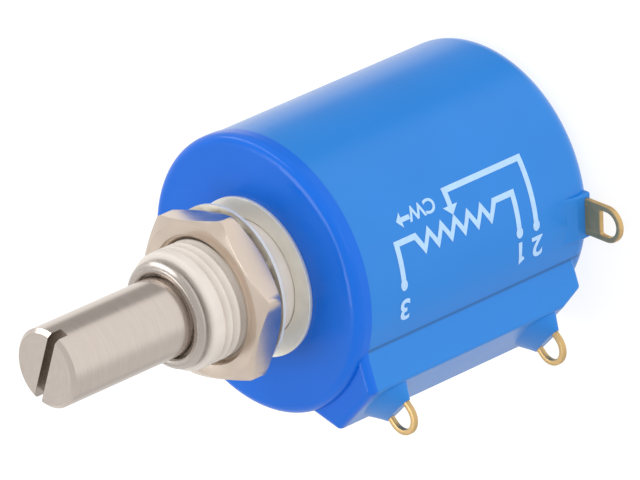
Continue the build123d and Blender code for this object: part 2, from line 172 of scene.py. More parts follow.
class HardwareSizes(bpy.types.PropertyGroup):
    """Sizes of the nut, the washers and the retaining ring."""

    across_flats: FloatProperty(
        name="Across flats", description="Nut size across its flats", default=12.7 * MM, unit="LENGTH"
    )
    nut_turn: FloatProperty(
        name="Nut turn", description="Angle of one corner of the nut", default=math.radians(55.0),
        subtype="ANGLE",
    )
    nut_inset: FloatProperty(
        name="Face inset", description="Flat end face inside the flats", default=0.15 * MM, unit="LENGTH"
    )
    nut_bevel: FloatProperty(
        name="Chamfer angle", description="Slope of the nut's chamfers", default=math.radians(30.0),
        subtype="ANGLE",
    )
    nut_sink: FloatProperty(
        name="Countersink", description="Chamfer at the mouth of the nut's thread", default=0.42 * MM,
        unit="LENGTH",
    )
    nut_edge: FloatProperty(
        name="Nut edge", description="Rounding of the nut's edges", default=0.03 * MM, unit="LENGTH"
    )
    washer_gap: FloatProperty(
        name="Washer gap", description="Flat washer's gap round the bushing", default=0.05 * MM, unit="LENGTH"
    )
    lock_trim: FloatProperty(
        name="Lock washer trim", description="Radius taken off the lock washer's rim", default=0.22 * MM,
        unit="LENGTH",
    )
    lock_share: FloatProperty(name="Lock washer share", description="Share of its thickness", default=0.65)
    lock_tilt: FloatProperty(
        name="Lock washer tilt", description="Slant of the loose lock washer", default=math.radians(2.0),
        subtype="ANGLE",
    )
    lock_turn: FloatProperty(
        name="Lock washer turn", description="Angle of its side away from the nut", default=math.radians(-15.0),
        subtype="ANGLE",
    )
    lock_shift: FloatProperty(
        name="Lock washer shift", description="Sideways play of the lock washer", default=0.15 * MM,
        unit="LENGTH",
    )
    ring_gap: FloatProperty(
        name="Ring gap", description="Opening of the retaining ring", default=2.4 * MM, unit="LENGTH"
    )
    ring_turn: FloatProperty(
        name="Ring turn", description="Angle of the ring's opening", default=math.radians(75.0), subtype="ANGLE"
    )
    ring_slope: FloatProperty(
        name="Ring slope", description="Width of the sloping rim of the ring", default=0.36 * MM, unit="LENGTH"
    )
    ring_mouth: FloatProperty(
        name="Ring mouth", description="Chamfer round the shaft", default=0.35 * MM, unit="LENGTH"
    )
    ring_dish: FloatProperty(
        name="Ring dish", description="Rise of the ring's underside towards its rim", default=0.2 * MM,
        unit="LENGTH",
    )
    ring_trim: FloatProperty(
        name="Ring trim", description="Radius taken off the ring's rim", default=0.2 * MM, unit="LENGTH"
    )
    edge: FloatProperty(
        name="Edge rounding", description="Rounding of stamped and turned edges", default=0.07 * MM,
        unit="LENGTH",
    )
    steps: IntProperty(name="Steps", description="Facets round a ring", default=96)


class LugSizes(bpy.types.PropertyGroup):
    """Sizes of the stamped solder lugs."""

    rim: FloatProperty(
        name="Rim", description="Metal left round the eye", default=0.46 * MM, unit="LENGTH"
    )
    flat_drop: FloatProperty(
        name="Eye flat", description="Flat side of the eye, from the centre of its arc", default=0.67 * MM,
        unit="LENGTH",
    )
    corner: FloatProperty(
        name="Eye corner", description="Rounding of the eye's two corners", default=0.22 * MM, unit="LENGTH"
    )
    edge: FloatProperty(
        name="Edge rounding", description="Rolled edge left by the punch", default=0.08 * MM, unit="LENGTH"
    )
    steps: IntProperty(name="Steps", description="Facets of half an eye", default=24)
    corner_steps: IntProperty(name="Corner steps", description="Facets of an eye's corner", default=4)


class PrintSizes(bpy.types.PropertyGroup):
    """Sizes and places of the circuit symbol printed on the case."""

    line: FloatProperty(
        name="Line width", description="Width of a printed line", default=0.48 * MM, unit="LENGTH"
    )
    film: FloatProperty(
        name="Film", description="Height of the ink on the case", default=0.02 * MM, unit="LENGTH"
    )
    overlap: FloatProperty(
        name="Overlap", description="Height of the dots over the lines", default=0.004 * MM, unit="LENGTH"
    )
    turn: FloatProperty(
        name="Turn", description="Angle on the case of the symbol's base line", default=math.radians(222.0),
        subtype="ANGLE",
    )
    digit: FloatProperty(
        name="Digit size", description="Size of the terminal numbers", default=2.4 * MM, unit="LENGTH"
    )
    sign: FloatProperty(
        name="Sign size", description="Size of the turning sign", default=1.6 * MM, unit="LENGTH"
    )
    rear: FloatProperty(
        name="Rear end", description="Place of lead 1 along the case", default=8.0 * MM, unit="LENGTH"
    )
    front: FloatProperty(
        name="Front end", description="Place of lead 3 along the case", default=20.3 * MM, unit="LENGTH"
    )
    teeth: IntProperty(name="Teeth", description="Points of the zigzag", default=6)
    lead_row: FloatProperty(
        name="Lead row", description="Upper points of the zigzag, round the case from the base line",
        default=-4.2 * MM, unit="LENGTH",
    )
    tooth_row: FloatProperty(
        name="Tooth row", description="Lower points of the zigzag", default=-2.95 * MM, unit="LENGTH"
    )
    dot_row: FloatProperty(name="Dot row", description="Dots of the leads", default=-0.95 * MM, unit="LENGTH")
    bridge_row: FloatProperty(
        name="Bridge row", description="Line over the zigzag", default=-6.47 * MM, unit="LENGTH"
    )
    turn_row: FloatProperty(name="Turn row", description="Turning sign", default=-5.75 * MM, unit="LENGTH")
    figure_rows: FloatVectorProperty(
        name="Figure rows", description="Middles of the figures 1, 2 and 3",
        default=(0.75 * MM, 0.7 * MM, 1.0 * MM), unit="LENGTH",
    )
    lead: FloatProperty(
        name="Lead", description="Plain length at each end of the zigzag", default=1.95 * MM, unit="LENGTH"
    )
    tap: FloatProperty(
        name="Tap", description="From lead 1 back to the wiper's lead", default=1.8 * MM, unit="LENGTH"
    )
    tap_gap: FloatProperty(
        name="Tap gap", description="From the wiper's arrow to the zigzag", default=0.3 * MM, unit="LENGTH"
    )
    tap_head: FloatVectorProperty(
        name="Tap head", description="Length and width of the wiper's arrow head", size=2,
        default=(0.75 * MM, 1.5 * MM), unit="LENGTH",
    )
    dot: FloatProperty(name="Dot", description="Radius of a lead's dot", default=0.35 * MM, unit="LENGTH")
    dot_stretch: FloatProperty(name="Dot stretch", description="Its length over its width", default=1.3)
    thin: FloatProperty(name="Thin lines", description="Share of the line width in small signs", default=0.8)
    sign_place: FloatProperty(
        name="Sign place", description="Place of the turning sign along the case", default=16.85 * MM,
        unit="LENGTH",
    )
    sign_lift: FloatProperty(
        name="Sign lift", description="From the turn row to its middle", default=0.2 * MM, unit="LENGTH"
    )
    turn_line: FloatVectorProperty(
        name="Turn arrow", description="Start and tip of the turning arrow along the case", size=2,
        default=(18.2 * MM, 19.6 * MM), unit="LENGTH",
    )
    turn_head: FloatVectorProperty(
        name="Turn head", description="Length and width of the turning arrow's head", size=2,
        default=(0.55 * MM, 1.25 * MM), unit="LENGTH",
    )


class Finishes(bpy.types.PropertyGroup):
    """Colours of the visible materials."""

    blue: FloatVectorProperty(
        name="Case blue", description="Moulded case", default=(0.006, 0.198, 0.645), subtype="COLOR"
    )
    # The lid's deeper blue is a shaded copy of the case blue, painted for the front face's shade
    lid: FloatVectorProperty(
        name="Lid blue", description="Moulded lid, a deeper batch", default=(0.0005, 0.133, 0.670),
        subtype="COLOR",
    )
    ink: FloatVectorProperty(
        name="Print", description="Printed symbol", default=(0.40, 0.62, 0.92), subtype="COLOR"
    )
    bushing: FloatVectorProperty(
        name="Bushing", description="Moulded bushing", default=(0.71, 0.66, 0.61), subtype="COLOR"
    )
    steel: FloatVectorProperty(
        name="Steel", description="Turned shaft", default=(0.64, 0.575, 0.525), subtype="COLOR"
    )
    bright: FloatVectorProperty(
        name="Bright steel", description="Retaining ring", default=(0.53, 0.485, 0.45), subtype="COLOR"
    )
    washer: FloatVectorProperty(
        name="Washers", description="Plated washers", default=(0.92, 0.90, 0.80), subtype="COLOR"
    )
    nickel: FloatVectorProperty(
        name="Nickel", description="Plated nut", default=(0.71, 0.61, 0.525), subtype="COLOR"
    )
    gold: FloatVectorProperty(
        name="Gold", description="Plated lugs", default=(0.66, 0.46, 0.21), subtype="COLOR"
    )
    wire: FloatVectorProperty(
        name="Wire", description="Resistance wire", default=(0.36, 0.26, 0.19), subtype="COLOR"
    )
    drum: FloatVectorProperty(
        name="Drum", description="Moulded rotor", default=(0.035, 0.036, 0.04), subtype="COLOR"
    )
    nylon: FloatVectorProperty(
        name="Nylon", description="Carriage and thrust washer", default=(0.70, 0.66, 0.56), subtype="COLOR"
    )
    contact: FloatVectorProperty(
        name="Contact alloy", description="Wiper and collector", default=(0.74, 0.56, 0.30), subtype="COLOR"
    )


class StageSizes(bpy.types.PropertyGroup):
    """Camera, floor and studio light."""

    azimuth: FloatProperty(
        name="Azimuth", description="Camera's turn about the shaft", default=math.radians(-15.0),
        subtype="ANGLE",
    )
    elevation: FloatProperty(
        name="Elevation", description="Camera's height above the floor", default=math.radians(38.0),
        subtype="ANGLE",
    )
    roll: FloatProperty(
        name="Roll", description="Camera's turn about its own axis", default=math.radians(114.08),
        subtype="ANGLE",
    )
    distance: FloatProperty(
        name="Distance", description="From the aim to the camera", default=682.46 * MM, unit="LENGTH"
    )
    aim: FloatVectorProperty(
        name="Aim", description="Point at the middle of the picture",
        default=(-0.41 * MM, -3.25 * MM, 20.744 * MM), subtype="XYZ",
    )
    lens: FloatProperty(name="Lens", description="Focal length in millimetres", default=506.25)
    floor: FloatProperty(name="Floor", description="Half width of the floor", default=1.5, unit="LENGTH")
    reach: FloatProperty(
        name="Light distance", description="From the aim to the lights", default=0.6, unit="LENGTH"
    )
    rim: FloatProperty(
        name="Rim light", description="Power of the strip along the lid's rim in watts", default=0.7
    )
    rim_from: FloatVectorProperty(
        name="Rim direction", description="From the aim to the strip", default=(0.89, -0.06, 0.45),
        subtype="DIRECTION",
    )
    rim_along: FloatVectorProperty(
        name="Rim length", description="Direction of the strip's length", default=(0.28, 0.77, -0.44),
        subtype="DIRECTION",
    )
    rim_size: FloatVectorProperty(
        name="Rim size", description="Length and width of the strip", size=2, default=(0.6, 0.1), unit="LENGTH"
    )
    top: FloatProperty(
        name="Top light", description="Power of the softbox over the front face in watts", default=1.3
    )
    top_from: FloatVectorProperty(
        name="Top direction", description="From the aim to the softbox", default=(0.2, 0.3, 0.93),
        subtype="DIRECTION",
    )
    top_size: FloatVectorProperty(
        name="Top size", description="Length and width of the softbox", size=2, default=(0.36, 0.36),
        unit="LENGTH",
    )
    side: FloatProperty(
        name="Side light", description="Power of the softbox beside the camera in watts", default=1.2
    )
    side_from: FloatVectorProperty(
        name="Side direction", description="Towards the camera's right, its top and its back",
        default=(0.54, 0.24, 0.81), subtype="DIRECTION",
    )
    side_size: FloatVectorProperty(
        name="Side size", description="Length and width of the softbox", size=2, default=(0.32, 0.32),
        unit="LENGTH",
    )
    tent_low: FloatProperty(
        name="Tent below", description="Strength of the soft light from below", default=1.08
    )
    tent_high: FloatProperty(
        name="Tent above", description="Strength of the soft light from above", default=0.76
    )
    tent: FloatVectorProperty(
        name="Tent colour", description="Colour of the soft light", default=(1.0, 0.98, 0.96), subtype="COLOR"
    )
    shade: FloatProperty(name="Shade", description="Share of light on the tent's dark sides", default=0.45)
    paper: FloatProperty(name="Paper", description="Grey of the floor where it isn't seen", default=0.8)
    thin: FloatProperty(
        name="Shadow depth", description="Grey of the floor that keeps the shadow", default=0.25
    )
    glow: FloatProperty(name="Glow", description="Light that lifts the seen floor to white", default=0.84)


GROUPS = {
    "pot_case": CaseSizes,
    "pot_shaft": ShaftSizes,
    "pot_bushing": BushingSizes,
    "pot_hardware": HardwareSizes,
    "pot_lugs": LugSizes,
    "pot_print": PrintSizes,
    "pot_finishes": Finishes,
    "pot_stage": StageSizes,
}


# Node helpers
def add_node(tree, kind, inputs=None, **settings):
    """Node with its settings made and its inputs set or linked."""
    node = tree.nodes.new(kind)
    for key, value in settings.items():
        setattr(node, key, value)
    for key, value in (inputs or {}).items():
        if isinstance(value, bpy.types.NodeSocket):
            tree.links.new(value, node.inputs[key])
        else:
            node.inputs[key].default_value = value
    return node


def add_math(tree, operation, first, second=0.0):
    """Output of one math step."""
    return add_node(tree, "ShaderNodeMath", {0: first, 1: second}, operation=operation).outputs[0]


def new_group(name, inputs, outputs):
    """Empty shader group with named value and vector sockets."""
    tree = bpy.data.node_groups.new(name, "ShaderNodeTree")
    for label, kind, default in inputs:
        socket = tree.interface.new_socket(label, in_out="INPUT", socket_type=kind)
        if default is not None:
            socket.default_value = default
    for label in outputs:
        tree.interface.new_socket(label, in_out="OUTPUT", socket_type="NodeSocketFloat")
    return tree, tree.nodes.new("NodeGroupInput"), tree.nodes.new("NodeGroupOutput")


def mottle_group():
    """Cloudy mask and fine grain for moulded and plated surfaces."""
    tree, ins, outs = new_group(
        "mottle",
        [
            ("Vector", "NodeSocketVector", None), ("Cloud", "NodeSocketFloat", 300.0),
            ("Grain", "NodeSocketFloat", 5000.0),
        ],
        ["Mask", "Height"],
    )
    cloud = add_node(
        tree, "ShaderNodeTexNoise",
        {"Vector": ins.outputs["Vector"], "Scale": ins.outputs["Cloud"], "Detail": 3.0, "Roughness": 0.55},
    )
    grain = add_node(
        tree, "ShaderNodeTexNoise",
        {"Vector": ins.outputs["Vector"], "Scale": ins.outputs["Grain"], "Detail": 2.0, "Roughness": 0.6},
    )
    mask = add_node(
        tree, "ShaderNodeMapRange",
        {"Value": cloud.outputs["Fac"], "From Min": 0.2, "From Max": 0.8},
        interpolation_type="SMOOTHSTEP",
    )
    tree.links.new(mask.outputs["Result"], outs.inputs["Mask"])
    tree.links.new(grain.outputs["Fac"], outs.inputs["Height"])
    return tree


def turning_group():
    """Fine rings about the shaft's axis, as a lathe leaves them on a side or an end face."""
    tree, ins, outs = new_group(
        "turning_rings",
        [("Vector", "NodeSocketVector", None), ("Density", "NodeSocketFloat", 9000.0)],
        ["Mask", "Height"],
    )
    parts = add_node(tree, "ShaderNodeSeparateXYZ", {0: ins.outputs["Vector"]})
    flat = add_node(tree, "ShaderNodeCombineXYZ", {"X": parts.outputs["X"], "Y": parts.outputs["Y"]})
    radius = add_node(tree, "ShaderNodeVectorMath", {0: flat.outputs[0]}, operation="LENGTH").outputs["Value"]
    along = add_math(tree, "MULTIPLY", parts.outputs["Z"], ins.outputs["Density"])
    across = add_math(tree, "MULTIPLY", radius, ins.outputs["Density"])
    turn = add_math(tree, "ARCTAN2", parts.outputs["Y"], parts.outputs["X"])
    spread = add_math(tree, "MULTIPLY", turn, 1.5)
    rings = add_node(tree, "ShaderNodeCombineXYZ", {"X": across, "Y": spread, "Z": along})
    lines = add_node(
        tree, "ShaderNodeTexNoise", {"Vector": rings.outputs[0], "Scale": 1.0, "Detail": 3.0, "Roughness": 0.7}
    )
    mask = add_node(
        tree, "ShaderNodeMapRange", {"Value": lines.outputs["Fac"], "From Min": 0.35, "From Max": 0.65}
    )
    tree.links.new(mask.outputs["Result"], outs.inputs["Mask"])
    tree.links.new(lines.outputs["Fac"], outs.inputs["Height"])
    return tree


def shared_group(name):
    """Shader group by name, made the first time that it is asked for."""
    makers = {"mottle": mottle_group, "turning_rings": turning_group}
    return bpy.data.node_groups.get(name) or makers[name]()


def shaded(colour, level):
    """Colour at another level, with its alpha."""
    return (*(channel * level for channel in colour), 1.0)


def finish(name, group, scales, colour, spread, roughness, bump, **constants):
    """Principled material whose colour, roughness and normal follow a shared effect."""
    material = bpy.data.materials.new(f"{name}_finish")
    material.use_nodes = True
    tree = material.node_tree
    shader = tree.nodes["Principled BSDF"]
    coords = add_node(tree, "ShaderNodeTexCoord")
    effect = add_node(tree, "ShaderNodeGroup", node_tree=shared_group(group))
    tree.links.new(coords.outputs["Object"], effect.inputs["Vector"])
    for label, scale in scales.items():
        effect.inputs[label].default_value = scale
    tint = add_node(tree, "ShaderNodeMix", {0: effect.outputs["Mask"]}, data_type="RGBA")
    tint.inputs[MIX_A].default_value = shaded(colour, 1.0 - spread)
    tint.inputs[MIX_B].default_value = shaded(colour, 1.0 + spread)
    gloss = add_node(
        tree, "ShaderNodeMapRange",
        {"Value": effect.outputs["Mask"], "To Min": roughness[0], "To Max": roughness[1]},
    )
    relief = add_node(
        tree, "ShaderNodeBump",
        {"Height": effect.outputs["Height"], "Strength": bump, "Distance": BUMP_DEPTH},
    )
    tree.links.new(tint.outputs[MIX_RESULT], shader.inputs["Base Color"])
    tree.links.new(gloss.outputs["Result"], shader.inputs["Roughness"])
    tree.links.new(relief.outputs["Normal"], shader.inputs["Normal"])
    for label, value in constants.items():
        shader.inputs[label.replace("_", " ")].default_value = value
    return material


def darken(tree, share):
    """Scale the colour of a material by a share, which paints shade on it."""
    shader = tree.nodes["Principled BSDF"]
    dark = add_node(tree, "ShaderNodeVectorMath", operation="SCALE")
    tree.links.new(shader.inputs["Base Color"].links[0].from_socket, dark.inputs[0])
    tree.links.new(share, dark.inputs["Scale"])
    tree.links.new(dark.outputs[0], shader.inputs["Base Color"])


def shade_crease(material, sizes):
    """Paint shade on a moulding along the two lines where the terminal ridge meets the case."""
    tree = material.node_tree
    coords = add_node(tree, "ShaderNodeTexCoord")
    parts = add_node(tree, "ShaderNodeSeparateXYZ", {0: coords.outputs["Object"]})
    along = add_math(tree, "ADD", parts.outputs["X"], sizes.crease_reach)
    across = add_math(tree, "SUBTRACT", add_math(tree, "ABSOLUTE", parts.outputs["Y"]), sizes.crease_half)
    flat = add_node(tree, "ShaderNodeCombineXYZ", {"X": along, "Y": across})
    away = add_node(tree, "ShaderNodeVectorMath", {0: flat.outputs[0]}, operation="LENGTH").outputs["Value"]
    share = add_node(
        tree, "ShaderNodeMapRange", {"Value": away, "From Max": sizes.crease_width, "To Min": sizes.crease_share},
        interpolation_type="SMOOTHSTEP",
    )
    darken(tree, share.outputs["Result"])


def shade_slot(material, sizes):
    """Paint shade on the walls and the floor of the shaft's slot."""
    tree = material.node_tree
    coords = add_node(tree, "ShaderNodeTexCoord")
    parts = add_node(tree, "ShaderNodeSeparateXYZ", {0: coords.outputs["Object"]})
    aside = add_node(
        tree, "ShaderNodeVectorMath",
        {0: coords.outputs["Object"], 1: polar(1.0, sizes.slot_turn + FULL_TURN / 4)},
        operation="DOT_PRODUCT",
    ).outputs["Value"]
    between = add_math(tree, "LESS_THAN", add_math(tree, "ABSOLUTE", aside), sizes.slot_half)
    above = add_math(tree, "GREATER_THAN", parts.outputs["Z"], SHAFT_TIP - sizes.slot_depth)
    share = add_node(
        tree, "ShaderNodeMapRange",
        {"Value": add_math(tree, "MULTIPLY", between, above), "To Min": 1.0, "To Max": sizes.slot_share},
    )
    darken(tree, share.outputs["Result"])


# Finishes, one for each material of the object
def moulded_blue():
    """Glossy blue of the case, with painted shade along the roots of the ridge."""
    material = finish(
        "moulded_blue", "mottle", {"Cloud": 160.0, "Grain": 6000.0}, bpy.context.scene.pot_finishes.blue,
        spread=0.025, roughness=(0.20, 0.26), bump=0.04, Specular_IOR_Level=0.5,
    )
    shade_crease(material, bpy.context.scene.pot_case)
    return material


def lid_shaded_blue():
    """Deeper blue of the lid, a shaded copy of the case blue that paints the front face's shade."""
    return finish(
        "lid_shaded_blue", "mottle", {"Cloud": 160.0, "Grain": 6000.0}, bpy.context.scene.pot_finishes.lid,
        spread=0.025, roughness=(0.20, 0.26), bump=0.04, Specular_IOR_Level=0.3,
    )


def printed_ink():
    """Pale ink of the symbol."""
    return finish(
        "printed_ink", "mottle", {"Cloud": 1800.0, "Grain": 9000.0}, bpy.context.scene.pot_finishes.ink,
        spread=0.06, roughness=(0.42, 0.55), bump=0.12,
    )


def moulded_white():
    """Off-white plastic of the bushing."""
    return finish(
        "moulded_white", "mottle", {"Cloud": 500.0, "Grain": 7000.0}, bpy.context.scene.pot_finishes.bushing,
        spread=0.04, roughness=(0.38, 0.5), bump=0.1,
    )


def satin_steel():
    """Turned steel of the shaft, with painted shade in its slot."""
    material = finish(
        "satin_steel", "turning_rings", {"Density": 9000.0}, bpy.context.scene.pot_finishes.steel,
        spread=0.03, roughness=(0.19, 0.24), bump=0.02, Metallic=1.0,
    )
    shade_slot(material, bpy.context.scene.pot_shaft)
    return material


def bright_steel():
    """Turned steel of the retaining ring."""
    return finish(
        "bright_steel", "turning_rings", {"Density": 6000.0}, bpy.context.scene.pot_finishes.bright,
        spread=0.05, roughness=(0.22, 0.32), bump=0.08, Metallic=1.0,
    )


def plated_washer():
    """Pale plate of the washers."""
    return finish(
        "plated_washer", "mottle", {"Cloud": 500.0, "Grain": 8000.0}, bpy.context.scene.pot_finishes.washer,
        spread=0.05, roughness=(0.40, 0.48), bump=0.1, Metallic=0.6,
    )


def nickel_plate():
    """Warm nickel of the nut."""
    return finish(
        "nickel_plate", "mottle", {"Cloud": 350.0, "Grain": 8000.0}, bpy.context.scene.pot_finishes.nickel,
        spread=0.04, roughness=(0.21, 0.26), bump=0.06, Metallic=1.0,
    )


def gold_plate():
    """Thin gold of the lugs and their leads."""
    return finish(
        "gold_plate", "mottle", {"Cloud": 900.0, "Grain": 9000.0}, bpy.context.scene.pot_finishes.gold,
        spread=0.08, roughness=(0.38, 0.48), bump=0.1, Metallic=0.8,
    )


def wound_wire():
    """Fine turns of the resistance wire."""
    return finish(
        "wound_wire", "turning_rings", {"Density": 14000.0}, bpy.context.scene.pot_finishes.wire,
        spread=0.25, roughness=(0.3, 0.45), bump=0.4, Metallic=1.0,
    )


def dark_moulding():
    """Dark plastic of the rotor."""
    return finish(
        "dark_moulding", "mottle", {"Cloud": 300.0, "Grain": 6000.0}, bpy.context.scene.pot_finishes.drum,
        spread=0.15, roughness=(0.4, 0.55), bump=0.15,
    )


def natural_nylon():
    """Nylon of the carriage and the thrust washer."""
    return finish(
        "natural_nylon", "mottle", {"Cloud": 300.0, "Grain": 6000.0}, bpy.context.scene.pot_finishes.nylon,
        spread=0.05, roughness=(0.35, 0.5), bump=0.1,
    )


def contact_alloy():
    """Spring metal of the wiper and its collector."""
    return finish(
        "contact_alloy", "mottle", {"Cloud": 600.0, "Grain": 9000.0}, bpy.context.scene.pot_finishes.contact,
        spread=0.08, roughness=(0.2, 0.32), bump=0.08, Metallic=1.0,
    )


def shared_material(maker):
    """Material of a finish, made the first time that it is asked for."""
    return bpy.data.materials.get(f"{maker.__name__}_finish") or maker()


# Mesh helpers
def soften(bm, width, angle=math.radians(40.0), segments=2):
    """Round the sharp edges of a closed mesh."""
    sharp = [e for e in bm.edges if len(e.link_faces) == 2 and e.calc_face_angle() > angle]
    bmesh.ops.bevel(
        bm, geom=sharp, offset=width, segments=segments, profile=0.5, affect="EDGES", clamp_overlap=True,
        material=-1,
    )


def clean(bm):
    """Merge what meets and point the faces outwards."""
    bmesh.ops.remove_doubles(bm, verts=bm.verts, dist=MERGE_DISTANCE)
    bmesh.ops.recalc_face_normals(bm, faces=bm.faces)


def spun(outline, steps):
    """Closed ring from an outline of radii and heights, turned about the shaft's axis."""
    bm = bmesh.new()
    points = [bm.verts.new((radius, 0.0, height)) for radius, height in outline]
    edges = [bm.edges.new((a, b)) for a, b in zip(points, points[1:] + points[:1])]
    bmesh.ops.spin(
        bm, geom=points + edges, cent=(0, 0, 0), axis=(0, 0, 1), angle=FULL_TURN, steps=steps, use_merge=True
    )
    clean(bm)
    return bm


def store(bm, name, maker, body, slot, *nodes):
    """Finished piece with its material, its body and the solids that it stands for; the slot argument is not
    used.
    """
    mesh = bpy.data.meshes.new(name)
    bm.to_mesh(mesh)
    bm.free()
    mesh.materials.append(shared_material(maker))
    mesh.shade_smooth()
    mesh.set_sharp_from_angle(angle=SMOOTH_ANGLE)
    piece = bpy.data.objects.new(name, mesh)
    bpy.context.scene.collection.objects.link(piece)
    normals = piece.modifiers.new("flat_normals", "WEIGHTED_NORMAL")
    normals.keep_sharp = True
    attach(piece, body)
    if nodes:
        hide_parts(*nodes)
    return piece


def dress(maker, *nodes):
    """Give solids of the frame their finish."""
    for node in nodes:
        mesh = frame["nodes"][node].data
        mesh.materials.clear()
        mesh.materials.append(shared_material(maker))


# Bushing, whose thread is spun past both ends and cut to length
SPARE_TURNS = 2


def ring_of(bm, height):
    """Open border of a mesh at a height."""
    return [
        e for e in bm.edges
        if e.is_boundary and all(abs(v.co.z - height) < MERGE_DISTANCE for v in e.verts)
    ]


def step_ring(bm, edges, radius, height):
    """Extrude an open border to a round border of another radius and height."""
    grown = bmesh.ops.extrude_edge_only(bm, edges=edges)["geom"]
    for v in (g for g in grown if isinstance(g, bmesh.types.BMVert)):
        v.co = polar(radius, math.atan2(v.co.y, v.co.x), height)
    return [g for g in grown if isinstance(g, bmesh.types.BMEdge)]


def thread_sleeve(sizes):
    """Bushing with a true helical thread, its rounded end, its bore and its inner flange."""
    root = THREAD_RADIUS - sizes.depth
    neck_end = FRONT_FACE + sizes.neck
    turns = math.ceil((BUSHING_HIGH.z - neck_end) / sizes.pitch) + SPARE_TURNS
    bm = bmesh.new()
    points = []
    for step in range(sizes.points + 1):
        share = step / sizes.points
        rise = (0.5 - 0.5 * math.cos(FULL_TURN * share)) ** sizes.fullness
        points.append(bm.verts.new((root + sizes.depth * rise, 0.0, neck_end + (share - 1.0) * sizes.pitch)))
    edges = [bm.edges.new(pair) for pair in zip(points, points[1:])]
    bmesh.ops.spin(
        bm, geom=points + edges, cent=(0, 0, 0), axis=(0, 0, 1), dvec=(0, 0, sizes.pitch / sizes.steps),
        angle=FULL_TURN * turns, steps=sizes.steps * turns,
    )
    bmesh.ops.remove_doubles(bm, verts=bm.verts, dist=MERGE_DISTANCE)
    for height, side in ((neck_end, -1.0), (BUSHING_HIGH.z, 1.0)):
        bmesh.ops.bisect_plane(
            bm, geom=bm.verts[:] + bm.edges[:] + bm.faces[:], dist=MERGE_DISTANCE, plane_co=(0, 0, height),
            plane_no=(0, 0, side), clear_outer=True,
        )
    for v in bm.verts:
        depth = max(BUSHING_HIGH.z - v.co.z, 0.0)
        radius = v.co.xy.length
        plain = min(max((sizes.collar - depth) / (sizes.runout * sizes.pitch), 0.0), 1.0)
        radius += plain * (THREAD_RADIUS - radius)
        short = max(sizes.rounding - depth, 0.0)
        radius = min(radius, THREAD_RADIUS - sizes.rounding + math.sqrt(sizes.rounding ** 2 - short ** 2))
        v.co.xy *= radius / v.co.xy.length
    bore = SHAFT_RADIUS + sizes.clearance
    mouth = step_ring(bm, ring_of(bm, BUSHING_HIGH.z), bore, BUSHING_HIGH.z)
    shoulder = BUSHING_LOW.z + sizes.flange
    rear = ring_of(bm, neck_end)
    for radius, height in (
        (THREAD_RADIUS, neck_end), (THREAD_RADIUS, shoulder), (BUSHING_HIGH.x, shoulder),
        (BUSHING_HIGH.x, BUSHING_LOW.z), (bore, BUSHING_LOW.z),
    ):
        rear = step_ring(bm, rear, radius, height)
    bmesh.ops.bridge_loops(bm, edges=mouth + rear)
    clean(bm)
    return bm


# Nut, washers and retaining ring
def hex_nut(sizes):
    """Hexagon nut with conical chamfers and a countersunk thread."""
    flat = sizes.across_flats / 2
    inner = THREAD_RADIUS + RUNNING_GAP
    face = flat - sizes.nut_inset
    bm = spun(
        [
            (inner + sizes.nut_sink, NUT_LOW.z), (face, NUT_LOW.z), (flat, NUT_LOW.z), (flat, NUT_HIGH.z),
            (face, NUT_HIGH.z), (inner + sizes.nut_sink, NUT_HIGH.z), (inner, NUT_HIGH.z - sizes.nut_sink),
            (inner, NUT_LOW.z + sizes.nut_sink),
        ],
        sizes.steps,
    )
    slope = math.tan(sizes.nut_bevel)
    sixth = FULL_TURN / 6
    for v in bm.verts:
        if v.co.xy.length > flat - MERGE_DISTANCE:
            angle = math.atan2(v.co.y, v.co.x)
            off_flat = (angle - sizes.nut_turn) % sixth - sixth / 2
            radius = flat / math.cos(off_flat)
            fall = (radius - face) * slope
            height = NUT_HIGH.z - fall if v.co.z > (NUT_LOW.z + NUT_HIGH.z) / 2 else NUT_LOW.z + fall
            v.co = polar(radius, angle, height)
    soften(bm, sizes.nut_edge)
    return bm


def washer(node, inner, sizes):
    """Flat ring in the place of a solid, with rounded edges."""
    low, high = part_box(node)
    bm = spun([(inner, low.z), (high.x, low.z), (high.x, high.z), (inner, high.z)], sizes.steps)
    soften(bm, sizes.edge)
    return bm


def loose_washer(sizes):
    """Toothed lock washer that leans against the nut, from the solid's own mesh."""
    bm = bmesh.new()
    bm.from_mesh(frame["nodes"]["lock_washer"].data)
    clean(bm)
    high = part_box("lock_washer")[1]
    rim = high.x - sizes.lock_trim
    for v in bm.verts:
        if v.co.xy.length > rim:
            v.co.xy *= rim / v.co.xy.length
        v.co.z = (v.co.z - high.z) * sizes.lock_share
    lean = Matrix.Rotation(sizes.lock_tilt, 3, polar(1.0, sizes.lock_turn + FULL_TURN / 4))
    seat = polar(sizes.lock_shift, sizes.lock_turn, NUT_LOW.z - SEAT_GAP - rim * math.sin(sizes.lock_tilt))
    bmesh.ops.rotate(bm, cent=(0, 0, 0), matrix=lean, verts=bm.verts)
    bmesh.ops.translate(bm, vec=seat, verts=bm.verts)
    return bm


